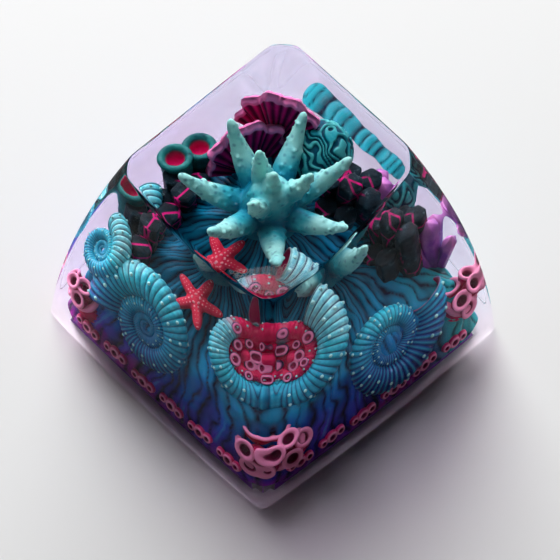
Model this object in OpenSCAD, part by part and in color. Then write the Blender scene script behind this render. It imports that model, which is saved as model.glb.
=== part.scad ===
// Keycap of clear cast resin over a small coral reef, for a cross-stem switch.
// Millimetres. The base stands on z = 0, the typist sits at -Y, and the top leans towards the typist.

/* [Cap] */
// Width of the square base
base_w = 18.2; // [17.4:0.1:19]
// Height of the middle of the dished top
dish_h = 14.1; // [13.6:0.1:15.5]
// Radius of the dish in the top
dish_r = 23.5; // [20:0.5:40]
// Lean of the top towards the typist
dish_lean = 10.4; // [6:0.2:12]
// Shift of the top away from the typist
top_shift = 0.34; // [0:0.02:0.6]
// Radius of the walls, seen from the side
wall_r = 56.6; // [50:1:80]
// Lean of the side walls at the base
wall_draft = 3.8; // [2:0.2:4.4]
// Radius of the walls, seen from above
bow_r = 160; // [120:5:400]
// Reach of the rounded corners from the middle at the base
corner_reach = 12.35; // [12.1:0.05:12.6]
// Radius of the corners, seen from the side
corner_r = 39.5; // [36:0.5:46]

/* [Stem base] */
// Clear resin outside the stem base at the mouth of the hollow
skirt = 1.7; // [1.6:0.05:1.9]
// Lean of each side of the hollow from its mouth to its roof
hollow_in = 1.2; // [1:0.05:1.4]
// Depth of the hollow
hollow_d = 4; // [3.8:0.1:4.2]
// Wall and roof of the stem base
stem_wall = 0.6; // [0.5:0.05:0.7]
// Diameter of the stem
stem_d = 5.5; // [5.3:0.1:6]
// Recess of the stem's end above the base
stem_recess = 0.5; // [0.2:0.1:0.8]
// Depth of the cross socket
socket_d = 3.7; // [3.6:0.05:3.8]
// Length of the cross socket's slots
socket_w = 4.1; // [4:0.02:4.2]
// Width of the slot across the cap
slot_x = 1.32; // [1.2:0.02:1.4]
// Width of the slot from front to back
slot_y = 1.16; // [1.1:0.02:1.3]

/* [Reef rock] */
// Clear resin left between the rock and the wall at the base
rock_margin = 1; // [0.9:0.05:1.2]
// Height of the rock's lower edge
rock_z = 0.7; // [0.5:0.1:1]
// Height of the rock's top
rock_top = 8.6; // [8.2:0.1:9]
// Rock left over the stem base
rock_cover = 0.85; // [0.75:0.05:1]
// Depth of the rock's folds
rock_fold = 0.36; // [0.2:0.02:0.4]
// Folds round the rock
rock_folds = 22; // [18:2:24]

/* [Spiral shells] */
// Radius of the large shell on the front
front_shell_r = 4.7; // [4.3:0.1:4.8]
// Radius of the shell on the right
right_shell_r = 4.6; // [4.2:0.1:4.7]
// Radius of the small shell on the left
left_shell_r = 2.9; // [2.6:0.1:3]
// Radius of the shell in the middle
middle_shell_r = 4.4; // [4:0.1:4.5]
// Growth of a shell in one turn
shell_growth = 2.1; // [2:0.05:2.3]
// Ribs on the last turn of a shell
shell_ribs = 10; // [8:1:12]
// Height of a rib, as a share of the shell's tube
rib_rise = 0.1; // [0.05:0.01:0.14]

/* [Corals] */
// Height of the crown coral
crown_h = 5.9; // [5.3:0.1:6]
// Thickness of a crown branch at its root
crown_branch_d = 1.45; // [1.25:0.05:1.55]
// Branches in the crown's outer row
crown_branches = 7; // [6:1:8]
// Radius of the brain coral
brain_r = 2.2; // [1.9:0.1:2.3]
// Length of the longest anemone tubes
tube_l = 4.1; // [3.6:0.1:4.3]
// Diameter of an anemone tube at its mouth
tube_d = 1.4; // [1.2:0.05:1.5]
// Height of the sponge tubes
sponge_h = 5.4; // [4.8:0.1:5.6]
// Width of the fan corals
fan_w = 5.2; // [4.6:0.1:5.4]
// Thickness of the fan corals
fan_t = 0.7; // [0.5:0.05:0.9]

/* [Rocks and small finds] */
// Width of a basalt column across its corners
basalt_w = 1.7; // [1.5:0.05:1.8]
// Height of the tallest basalt column
basalt_h = 10.4; // [9.8:0.1:10.6]
// Length of the longest crystal
crystal_l = 4.4; // [3.8:0.1:4.6]
// Width of the longest crystal
crystal_w = 1.5; // [1.2:0.05:1.6]
// Reach of a starfish arm
star_r = 1.9; // [1.6:0.05:2]
// Thickness of the starfish
star_t = 0.8; // [0.6:0.05:1]
// Diameter of a barnacle
barnacle_d = 1.4; // [1.2:0.05:1.5]
// Distance between barnacles
barnacle_pitch = 2.3; // [2:0.05:2.6]

/* [Hidden] */
$fn = 96;

wall_facets = 180;
dish_facets = 48;
half_w = base_w / 2;
cut = 1;
block_h = dish_h + 6;
lean_axis = atan(top_shift / dish_h);
roof_z = hollow_d + stem_wall;
stem_base_w = base_w - 2 * skirt;
stem_base_top_w = stem_base_w - 2 * hollow_in;
rock_w = half_w - rock_margin;

// The cap's outer form

// One wall: a slice of a ring that is bowed from above and from the side
module wall(side, draft) {
    slice = 12;
    rotate([0, 0, side])
        translate([0, bow_r - half_w, 0])
            rotate([0, 0, -90 - slice / 2])
                rotate_extrude(angle = slice, $fn = wall_facets)
                    intersection() {
                        translate([bow_r - wall_r * cos(draft), -wall_r * sin(draft)])
                            circle(wall_r, $fn = wall_facets / 2);
                        translate([bow_r - 1.2 * base_w, 0]) square([1.3 * base_w, block_h]);
                    }
}

// The rounded corners: one revolved form that takes the four upright edges off
module corners() {
    draft = wall_draft * sqrt(2);
    rotate([-lean_axis, 0, 0])
        translate([0, 0, -cut])
            rotate_extrude()
                intersection() {
                    translate([corner_reach - corner_r * cos(draft), cut - corner_r * sin(draft)])
                        circle(corner_r, $fn = wall_facets / 2);
                    square([base_w, block_h + cut]);
                }
}

module cap_form() {
    difference() {
        intersection() {
            wall(0, wall_draft + lean_axis);
            wall(180, wall_draft - lean_axis);
            wall(90, wall_draft);
            wall(-90, wall_draft);
            corners();
        }
        translate([0, top_shift - dish_r * sin(dish_lean), dish_h + dish_r * cos(dish_lean)])
            sphere(dish_r, $fn = dish_facets);
    }
}

// A place by its distances in from the nearest side wall and from the nearest front or back wall; a
// minus sign in side or end means the left or the front
function from_walls(side, in_x, end, in_y, z) = [side * (half_w - in_x), end * (half_w - in_y), z];

// Lofts: closed solids through rings of points

// A ring of points round p in the plane of the directions a and b
function ring(p, a, b, r, sides, turn = 0) =
    [for (i = [0:sides - 1]) p + r * (cos(i * 360 / sides + turn) * a + sin(i * 360 / sides + turn) * b)];

// Both ends close on a point: start and end are those points
module loft(rings, start, end) {
    n = len(rings);
    m = len(rings[0]);
    polyhedron(
        points = concat([for (r = rings, p = r) p], [start, end]),
        faces = concat(
            [for (j = [0:m - 1]) [j, (j + 1) % m, n * m]],
            [for (i = [0:n - 2], j = [0:m - 1]) [i * m + (j + 1) % m, i * m + j, (i + 1) * m + j]],
            [for (i = [0:n - 2], j = [0:m - 1])
                [(i + 1) * m + (j + 1) % m, i * m + (j + 1) % m, (i + 1) * m + j]],
            [for (j = [0:m - 1]) [(n - 1) * m + (j + 1) % m, (n - 1) * m + j, n * m + 1]]));
}

// A limb in an upright plane, from p towards azimuth az: it starts at the angle rise and bends by
// bend over its length, radii are its radii at even steps, and each step is turned by twist
module limb(p, az, rise, bend, length, radii, sides, tip, twist = 9) {
    steps = len(radii) - 1;
    step = length / steps;
    out = [cos(az), sin(az), 0];
    side = [-sin(az), cos(az), 0];
    function heading(i) = rise + bend * i / steps;
    function along(i) = cos(heading(i)) * out + [0, 0, sin(heading(i))];
    function across(i) = cos(heading(i)) * [0, 0, 1] - sin(heading(i)) * out;
    function place(i) = i == 0 ? p : place(i - 1) + step * along(i - 0.5);
    loft([for (i = [0:steps]) ring(place(i), side, across(i), radii[i], sides, twist * i)],
         p - radii[0] / 2 * along(0), place(steps) + tip * along(steps));
}

// Everything in it is joined and handed on as one mesh
module as_one_mesh() {
    resize([0, 0, 0]) union() children();
}

// Stem base

module tapered_block(bottom, top, height) {
    linear_extrude(height, scale = top / bottom) square(bottom, center = true);
}

module stem_base_form() {
    tapered_block(stem_base_w, stem_base_top_w, roof_z);
}

module stem_base() {
    color("rebeccapurple")
        difference() {
            union() {
                difference() {
                    stem_base_form();
                    tapered_block(stem_base_w - 2 * stem_wall, stem_base_top_w - 2 * stem_wall, hollow_d);
                }
                translate([0, 0, stem_recess]) cylinder(d = stem_d, h = roof_z - stem_recess - stem_wall / 2);
            }
            translate([0, 0, stem_recess - cut])
                linear_extrude(socket_d + cut) {
                    square([socket_w, slot_x], center = true);
                    square([slot_y, socket_w], center = true);
                }
        }
}

// Reef rock

// Reach of a square with round corners, in the direction az
function square_reach(w, az, power) =
    w / pow(pow(abs(cos(az)), power) + pow(abs(sin(az)), power), 1 / power);

// A ring of folds: every second point lies deeper, and the folds lean over as they rise
function rock_ring(w, z, fold, lean) =
    [for (i = [0:2 * rock_folds - 1])
        let (az = (i + lean) * 180 / rock_folds,
             depth = (i % 2 == 0 ? 0 : 1) + 0.3 * (1 + cos(az * 3 + z * 40)),
             r = square_reach(w, az, 20) - fold * depth)
        [r * cos(az), r * sin(az), z]];

module reef_rock_form() {
    rise = rock_top - rock_z;
    loft([rock_ring(rock_w, rock_z, 0.2 * rock_fold, 0),
          rock_ring(rock_w - 0.25, rock_z + 0.18 * rise, rock_fold, 0.8),
          rock_ring(stem_base_top_w / 2 + rock_cover, roof_z + 0.45, 0.8 * rock_fold, 1.6),
          rock_ring(0.66 * rock_w, rock_z + 0.76 * rise, 2 * rock_fold, 2.4),
          rock_ring(0.36 * rock_w, rock_z + 0.92 * rise, rock_fold, 3.2)],
         [0, 0, rock_z], [0, 0, rock_top]);
}

// Basalt columns

module columns(place, heights, turn) {
    for (i = [0:len(heights) - 1]) {
        az = turn + i * 60;
        r = i == 0 ? 0 : 0.85 * basalt_w;
        translate([place[0] + r * cos(az), place[1] + r * sin(az), rock_z + 2])
            rotate([0, 0, turn + 30])
                cylinder(d = basalt_w, h = basalt_h * heights[i] - rock_z - 2, $fn = 6);
    }
}

module basalt_columns_form() {
    columns(from_walls(1, 6.65, 1, 4.75, 0), [1, 0.93, 0.86, 0.9, 0.8, 0.84, 0.95], 12);
    columns(from_walls(-1, 4.8, -1, 6.3, 0), [0.9, 0.8, 0.86, 0.76, 0.83], 40);
}

// Spiral shells

// One turn of a shell in its own plane; its widest point lies at the radius r
module whorl(r, ribs, sides, mouth, turn) {
    steps = 2 * ribs;
    function grow(i) = pow(shell_growth, i / steps - 1);
    tube = (shell_growth - 1) / (shell_growth + 1) * 1.04;
    middle = r / (1 + tube * (1 + rib_rise));
    function rim(i) =
        let (az = i * 360 / steps, out = [cos(az), sin(az), 0],
             wave = 1 + (i % 2 == 0 ? rib_rise : -rib_rise))
        ring(middle * grow(i) * out, out, [0, 0, -1], middle * grow(i) * tube * wave, sides, turn);
    loft([for (i = [0:steps]) rim(i)], [middle * grow(0), 0, 0],
         [middle * grow(steps), mouth * middle * tube, 0]);
}

module shell(r, ribs) {
    whorl(r, ribs, 6, -0.4, 17);
    rotate([0, 0, 7]) whorl(r / shell_growth, round(0.5 * ribs), 5, 0.6, 31);
}

module front_shell_form() {
    translate(from_walls(-1, 7.3, -1, 2.35, 5.1))
        rotate([68, 0, -3]) rotate([0, 0, 200]) shell(front_shell_r, shell_ribs);
}

module right_shell_form() {
    translate(from_walls(1, 2.5, 1, 7.5, 4.7))
        rotate([69, 0, 93]) rotate([0, 0, 20]) shell(right_shell_r, shell_ribs);
}

module left_shell_form() {
    translate(from_walls(-1, 2.9, -1, 3.6, 6.7))
        rotate([52, 0, -48]) rotate([0, 0, 120]) shell(left_shell_r, shell_ribs - 2);
}

module middle_shell_form() {
    translate(from_walls(1, 4.8, -1, 4.95, 7.3))
        rotate([46, 0, 48]) rotate([0, 0, 70]) shell(middle_shell_r, shell_ribs);
}

// Crown coral

module crown_coral_form() {
    r = crown_branch_d / 2;
    root = rock_top - 1;
    translate([-0.3, 0.35, 0]) {
        limb([0, 0, root], 41, 90, 0, 0.62 * crown_h, r * [3.4, 2.9, 2.2, 1.6], 8, r);
        for (i = [0:crown_branches - 1]) {
            az = i * 360 / crown_branches + 13;
            limb([0, 0, root + 0.95], az, 8 + 8 * (i % 2), 46, 0.98 * crown_h,
                 r * [1.4, 1.05, 0.45], 5, r);
        }
        for (i = [0:2])
            limb([0, 0, root + 2.15], i * 120 + 46, 42 + 8 * (i % 2), 34, 0.66 * crown_h,
                 r * [1.3, 0.9, 0.4], 5, r);
        limb([0, 0, root + 2.4], 124, 84, 6, 0.48 * crown_h, r * [1.2, 0.9, 0.5], 5, r);
    }
}

// Brain coral: a dome on a stalk

module brain_coral_form() {
    rows = 4;
    foot = rock_z + 4;
    dome = 8.2;
    translate(from_walls(-1, 8, 1, 3.85, 0))
        loft(concat(
                [ring([0, 0, foot], [1, 0, 0], [0, 1, 0], 0.6 * brain_r, 11)],
                [for (i = [0:rows])
                    ring([0, 0, dome + brain_r * sin(i * 75 / rows)], [1, 0, 0], [0, 1, 0],
                         brain_r * cos(i * 75 / rows), 11, 7 * i + 5)]),
             [0, 0, foot], [0, 0, dome + brain_r]);
}

// Fan corals: thin scalloped fans

function fan_reach(i, lobes) = fan_w / 2 * (i % 2 == 0 ? 1.18 : 0.98) * (1 - 0.1 * abs(i / lobes - 1));

module fan(place, turn, rise) {
    lobes = 5;
    translate(place)
        rotate([0, 0, turn])
            rotate([rise, 0, 0])
                linear_extrude(fan_t, center = true)
                    polygon(concat(
                        [[0.3 * fan_w, -0.6 * fan_w], [-0.3 * fan_w, -0.6 * fan_w]],
                        [for (i = [2 * lobes:-1:0])
                            let (a = 190 * i / (2 * lobes) - 5)
                            fan_reach(i, lobes) * [cos(a), sin(a)]]));
}

module fan_corals_form() {
    fan(from_walls(-1, 5.05, 1, 7.05, 8.2), 70, 76);
    fan(from_walls(-1, 5.15, 1, 4.6, 9.25), 28, 80);
}

// Tubes with open mouths: each is a limb that flares and ends in a dished mouth

module tubes(place, turn, lean, count, length, mouth, spread, sides) {
    function share(i) = i / count;
    translate(place)
        rotate([0, lean, turn]) {
            limb([0, 0, -0.4], 0, 90, 0, 0.55 * length, mouth * [1.15, 0.95], 6, 0.2);
            for (i = [0:count - 1])
                limb([0, 0, 0], i * 137.5, 90 - spread * sqrt(share(i)), -8, length * (1 - 0.32 * share(i)),
                     mouth / 2 * [0.62, 0.7, 1], sides, -0.3 * mouth);
        }
}

module front_anemone_form() {
    tubes(from_walls(1, 2.95, -1, 3.45, 2), -43, 54, 7, 0.7 * tube_l, tube_d, 42, 6);
}

module left_anemone_form() {
    tubes(from_walls(-1, 3.1, -1, 2.7, 2.15), -138, 42, 6, 0.6 * tube_l, 0.9 * tube_d, 34, 6);
}

module right_anemone_form() {
    tubes(from_walls(1, 3.2, 1, 2.85, 2.7), 42, 43, 6, 0.7 * tube_l, tube_d, 36, 6);
}

module sponge_tubes_form() {
    foot = rock_z + 3;
    for (i = [0:1])
        limb(from_walls(-1, 3.45, -1, 7.25 + 1.7 * i, foot), 160 - 10 * i, 84, -6, sponge_h * (1 - 0.12 * i),
             [1, 1.1, 0.9, 1.05], 7, -0.5);
}

// Crystals

module crystals_form() {
    for (i = [0:3]) {
        size = 1 - 0.1 * i;
        limb(from_walls(1, 5.55, 1, 2.85, rock_z + 3.4), i * 137.5, 90 - 26 * sqrt(i / 3), 0,
             crystal_l * size, crystal_w / 2 * size * [0.8, 1], 6, 0.3 * crystal_w);
    }
    for (i = [0:2])
        limb(from_walls(-1, 2.9, 1, 3.3, rock_z + 2.6), i * 110 + 20, 88 - 20 * i / 3, 0,
             0.8 * crystal_l * (1 - 0.12 * i), crystal_w / 2 * [0.7, 0.9], 6, 0.3 * crystal_w);
}

// Starfish

module starfish_form() {
    arms = 5;
    translate(from_walls(1, 8.75, -1, 5.15, 7.9))
        rotate([28, -4, 0])
            rotate([0, 0, 12])
                loft([[for (i = [0:2 * arms - 1])
                        let (r = i % 2 == 0 ? star_r : 0.42 * star_r)
                        [r * cos(i * 180 / arms), r * sin(i * 180 / arms), 0]]],
                     [0, 0, -star_t / 2], [0, 0, star_t / 2]);
}

// Barnacles along the foot of the rock

module barnacle(place, turn) {
    translate(place)
        rotate([90, 0, turn])
            loft([ring([0, 0, -0.6], [1, 0, 0], [0, 1, 0], barnacle_d / 2, 6),
                  ring([0, 0, 0.24], [1, 0, 0], [0, 1, 0], 0.42 * barnacle_d, 6, 9)],
                 [0, 0, -0.6], [0, 0, 0]);
}

module barnacles_form() {
    count = floor((base_w - 6) / barnacle_pitch);
    for (i = [0:count]) {
        along = (i - count / 2) * barnacle_pitch;
        barnacle([along, -rock_w, rock_z + 0.8], 0);
        barnacle([rock_w, along, rock_z + 0.75], 90);
    }
}

// The pieces in the order in which they are set; each is trimmed by those set before it

module form(i) {
    if (i == 0) stem_base_form();
    if (i == 1) reef_rock_form();
    if (i == 2) basalt_columns_form();
    if (i == 3) front_shell_form();
    if (i == 4) right_shell_form();
    if (i == 5) left_shell_form();
    if (i == 6) middle_shell_form();
    if (i == 7) crown_coral_form();
    if (i == 8) brain_coral_form();
    if (i == 9) fan_corals_form();
    if (i == 10) sponge_tubes_form();
    if (i == 11) front_anemone_form();
    if (i == 12) left_anemone_form();
    if (i == 13) right_anemone_form();
    if (i == 14) crystals_form();
    if (i == 15) starfish_form();
    if (i == 16) barnacles_form();
}

module set_piece(i) {
    as_one_mesh()
        difference() {
            form(i);
            for (k = [0:i - 1]) form(k);
        }
}

module resin_cap() {
    color("plum", 0.4)
        as_one_mesh()
            difference() {
                cap_form();
                for (i = [0:16]) form(i);
            }
}

module reef_rock() { color("darkslateblue") set_piece(1); }
module basalt_columns() { color("darkslategray") set_piece(2); }
module front_shell() { color("teal") set_piece(3); }
module right_shell() { color("steelblue") set_piece(4); }
module middle_shell() { color("cadetblue") set_piece(6); }
module left_shell() { color("darkcyan") set_piece(5); }
module crown_coral() { color("paleturquoise") set_piece(7); }
module brain_coral() { color("mediumturquoise") set_piece(8); }
module fan_corals() { color("mediumvioletred") set_piece(9); }
module sponge_tubes() { color("seagreen") set_piece(10); }
module front_anemone() { color("deeppink") set_piece(11); }
module left_anemone() { color("crimson") set_piece(12); }
module right_anemone() { color("hotpink") set_piece(13); }
module crystals() { color("mediumpurple") set_piece(14); }
module starfish() { color("orangered") set_piece(15); }
module barnacles() { color("pink") set_piece(16); }

resin_cap();
stem_base();
reef_rock();
basalt_columns();
front_shell();
right_shell();
left_shell();
middle_shell();
crown_coral();
brain_coral();
fan_corals();
sponge_tubes();
front_anemone();
left_anemone();
right_anemone();
crystals();
starfish();
barnacles();
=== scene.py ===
"""Keycap of clear violet-tinted resin cast over a painted coral reef.

Lengths are written in millimetres in the CAD's frame and turned into metres by MM.
"""
import math

import bpy
import numpy as np
from mathutils import Matrix, Vector, noise


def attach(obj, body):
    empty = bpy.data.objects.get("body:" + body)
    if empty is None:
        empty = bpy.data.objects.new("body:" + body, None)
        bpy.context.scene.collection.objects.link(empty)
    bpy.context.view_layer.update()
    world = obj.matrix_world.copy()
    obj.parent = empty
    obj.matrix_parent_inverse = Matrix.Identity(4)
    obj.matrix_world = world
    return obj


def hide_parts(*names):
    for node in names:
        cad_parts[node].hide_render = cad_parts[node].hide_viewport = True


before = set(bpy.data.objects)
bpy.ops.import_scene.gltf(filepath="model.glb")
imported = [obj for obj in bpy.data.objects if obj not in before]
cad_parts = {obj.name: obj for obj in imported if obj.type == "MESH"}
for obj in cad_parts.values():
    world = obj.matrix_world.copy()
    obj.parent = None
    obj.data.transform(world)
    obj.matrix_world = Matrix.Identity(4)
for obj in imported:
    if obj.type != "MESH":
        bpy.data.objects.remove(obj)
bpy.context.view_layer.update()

MM = 0.001
rng = np.random.default_rng(7)

# Camera: the photograph's angle and distance
CAM_ELEVATION = 57.4
CAM_AZIMUTH = 42.5
CAM_DISTANCE = 433.0
CAM_TARGET = (0.0, 0.0, 5.0)
CAM_AIM_RIGHT = 0.4235
CAM_AIM_UP = -0.55
CAM_LENS = 506.0

# Strength of the world's light near the horizon and overhead
SKY_LOW = 0.55
SKY_HIGH = 0.19

# Resin: how it bends light, its polish, and the share of bare glass's mirror image that it shows
RESIN_IOR = 1.49
RESIN_ROUGHNESS = 0.02
RESIN_MIRROR = 0.22

# Cap, in millimetres: the same values as the CAD, then the rounding of its edges
BASE_HALF = 9.1
DISH_H = 14.1
DISH_R = 23.5
DISH_LEAN = 10.4
TOP_SHIFT = 0.34
WALL_R = 56.6
WALL_DRAFT = 3.8
BOW_R = 160.0
CORNER_REACH = 12.35
CORNER_R = 39.5
STEM_BASE_HALF = 7.4
STEM_BASE_TOP_HALF = 6.2
STEM_ROOF_Z = 4.6
EDGE_SOFT = 0.10
RIM_FILLET = 0.22
BASE_FILLET = 0.06

# Gap between the stem base and the pieces round it
POCKET_GAP = 0.02

# The floor lies this far above the base, so that no air is between it and the resin
FLOOR_LIFT = 0.01
FLOOR_HALF = 2000.0

# Reef: the same values as the CAD
ROCK_HALF = 8.1
ROCK_Z = 0.7
ROCK_TOP = 8.6
ROCK_COVER = 0.85
ROCK_FOLD = 0.36
ROCK_FOLDS = 22
SHELL_GROWTH = 2.1
SHELL_RIB_RISE = 0.1
CROWN_H = 5.9
CROWN_BRANCH_D = 1.45
CROWN_BRANCHES = 7
BRAIN_R = 2.2
TUBE_L = 4.1
TUBE_D = 1.4
SPONGE_H = 5.4
FAN_W = 5.2
FAN_T = 0.7
BASALT_W = 1.7
BASALT_H = 10.4
CRYSTAL_L = 4.4
CRYSTAL_TIP = 0.45
STAR_R = 1.9
STAR_T = 0.8
BARNACLE_D = 1.4
BARNACLE_PITCH = 2.3

# Turns of a shell's coil inside its last one, and the angle between one tube or crystal and the next
SHELL_INNER_TURNS = 2.3
GOLDEN_ANGLE = 137.5

# Half of a hexagon's side, seen from its middle
SIXTH = math.pi / 6


def srgb(r, g, b):
    """A colour as seen on a screen, 0 to 255, as a linear colour."""
    def linear(c):
        c /= 255
        return c / 12.92 if c <= 0.04045 else ((c + 0.055) / 1.055) ** 2.4
    return (linear(r), linear(g), linear(b), 1.0)


def rotation(x, y, z):
    """Turns by x, y, then z degrees, as OpenSCAD's rotate does."""
    def turn(angle, axis):
        return np.array(Matrix.Rotation(math.radians(angle), 3, axis))
    return turn(z, "Z") @ turn(y, "Y") @ turn(x, "X")


# Meshes


def join(parts):
    """One (vertices, faces, values) from several; values are per-vertex numbers by name."""
    names = sorted({n for _, _, values in parts for n in values})
    verts, faces, base = [], [], 0
    for v, f, _ in parts:
        verts.append(v)
        faces += [tuple(i + base for i in face) for face in f]
        base += len(v)
    values = {name: np.concatenate([held.get(name, np.zeros(len(v))) for v, _, held in parts])
              for name in names}
    return np.vstack(verts), faces, values


def make_object(name, verts, faces, values=None):
    """A smooth-shaded object of points in millimetres, with per-vertex values by name."""
    mesh = bpy.data.meshes.new(name)
    mesh.from_pydata([tuple(v) for v in np.asarray(verts) * MM], [], faces)
    for key, data in (values or {}).items():
        set_value(mesh, key, data)
    mesh.validate()
    mesh.polygons.foreach_set("use_smooth", [True] * len(mesh.polygons))
    obj = bpy.data.objects.new(name, mesh)
    bpy.context.scene.collection.objects.link(obj)
    return obj


def finish_piece(obj, material, node):
    """Dresses the piece and puts it in the place of the CAD's node."""
    obj.data.materials.clear()
    obj.data.materials.append(material)
    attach(obj, "root")
    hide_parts(node)


def tube_faces(rows, cols):
    """Faces of a tube whose two middle points come after its rings: its quads, then its two ends."""
    faces = []
    for i in range(rows - 1):
        for j in range(cols):
            k = (j + 1) % cols
            faces.append((i * cols + j, i * cols + k, (i + 1) * cols + k, (i + 1) * cols + j))
    first, top = rows * cols, (rows - 1) * cols
    faces += [((j + 1) % cols, j, first) for j in range(cols)]
    faces += [(top + j, top + (j + 1) % cols, first + 1) for j in range(cols)]
    return faces


def sweep(centres, side, across, radii, cols, shape=None, values=None):
    """A closed tube through rings; radii may be one row per ring. Its ends close on their middle points."""
    centres, side, across = (np.asarray(a, float) for a in (centres, side, across))
    rows = len(centres)
    t = np.arange(cols) * 2 * math.pi / cols
    radii = np.asarray(radii, float)
    if radii.ndim == 1:
        radii = np.repeat(radii[:, None], cols, 1)
    if shape is not None:
        radii = radii * shape
    rings = (centres[:, None] + radii[..., None] * (np.cos(t)[None, :, None] * side[:, None]
                                                    + np.sin(t)[None, :, None] * across[:, None]))
    verts = np.vstack([rings.reshape(-1, 3), centres[:1], centres[-1:]])
    out = {}
    for key, data in (values or {}).items():
        data = np.asarray(data, float)
        if data.ndim == 1:
            data = np.repeat(data[:, None], cols, 1)
        out[key] = np.concatenate([data.reshape(-1), [data[0].mean(), data[-1].mean()]])
    return verts, tube_faces(rows, cols), out


def ball(centre, radius, key="dot"):
    """A small round bump, where the value named by key is 1."""
    rows, cols = 6, 10
    a = np.linspace(0.12, math.pi - 0.12, rows)
    centres = np.zeros((rows, 3))
    centres[:, 2] = -np.cos(a)
    v, f, _ = sweep(centres, [[1, 0, 0]] * rows, [[0, 1, 0]] * rows, np.sin(a), cols)
    return v * radius + np.asarray(centre), f, {key: np.ones(len(v))}


def limb_path(p, az, rise, bend, length, steps):
    """Points, side and across directions of a limb, as the CAD's limb() has them."""
    az = math.radians(az)
    out = np.array([math.cos(az), math.sin(az), 0])
    side = np.array([-math.sin(az), math.cos(az), 0])
    up = np.array([0, 0, 1.0])
    points, across = [np.asarray(p, float)], []
    for i in range(steps + 1):
        h = math.radians(rise + bend * i / steps)
        across.append(math.cos(h) * up - math.sin(h) * out)
        if i < steps:
            m = math.radians(rise + bend * (i + 0.5) / steps)
            points.append(points[-1] + length / steps * (math.cos(m) * out + math.sin(m) * up))
    h = math.radians(rise + bend)
    end = math.cos(h) * out + math.sin(h) * up
    return np.array(points), np.repeat(side[None], steps + 1, 0), np.array(across), end


def smooth_radii(radii, steps):
    """Radii at even steps, eased through the given ones."""
    x = np.linspace(0, len(radii) - 1, steps + 1)
    i = np.clip(x.astype(int), 0, len(radii) - 2)
    f = x - i
    f = f * f * (3 - 2 * f) * 0.5 + f * 0.5
    radii = np.asarray(radii, float)
    return radii[i] * (1 - f) + radii[i + 1] * f


def moved(part, matrix, offset):
    """The part turned by the matrix and then shifted."""
    v, f, values = part
    return v @ np.asarray(matrix).T + np.asarray(offset), f, values


def fractal(points, scale, octaves, seed):
    """Fractal noise at each point; scale is in features a millimetre."""
    shift = Vector((seed, seed * 0.7, -seed))
    return np.array([noise.fractal(Vector(p) * scale + shift, 0.9, 2.1, octaves) for p in points])


def fused(name, parts, voxel, smooth_steps):
    """One skin over overlapping closed parts, from cubes of the size voxel, in millimetres."""
    v, f, _ = join(parts)
    obj = make_object(name, v, f)
    remesh = obj.modifiers.new("skin", "REMESH")
    remesh.mode, remesh.voxel_size = "VOXEL", voxel * MM
    relax = obj.modifiers.new("relax", "SMOOTH")
    relax.factor, relax.iterations = 0.5, smooth_steps
    depsgraph = bpy.context.evaluated_depsgraph_get()
    mesh = bpy.data.meshes.new_from_object(obj.evaluated_get(depsgraph))
    obj.modifiers.clear()
    old, obj.data = obj.data, mesh
    bpy.data.meshes.remove(old)
    obj.data.name = name
    mesh.polygons.foreach_set("use_smooth", [True] * len(mesh.polygons))
    return obj


def vertices_of(obj):
    """The object's points in millimetres."""
    co = np.empty(3 * len(obj.data.vertices))
    obj.data.vertices.foreach_get("co", co)
    return co.reshape(-1, 3) / MM


def set_value(mesh, key, data):
    mesh.attributes.new(key, "FLOAT", "POINT").data.foreach_set("value", np.asarray(data, np.float32))


# Materials


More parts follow.
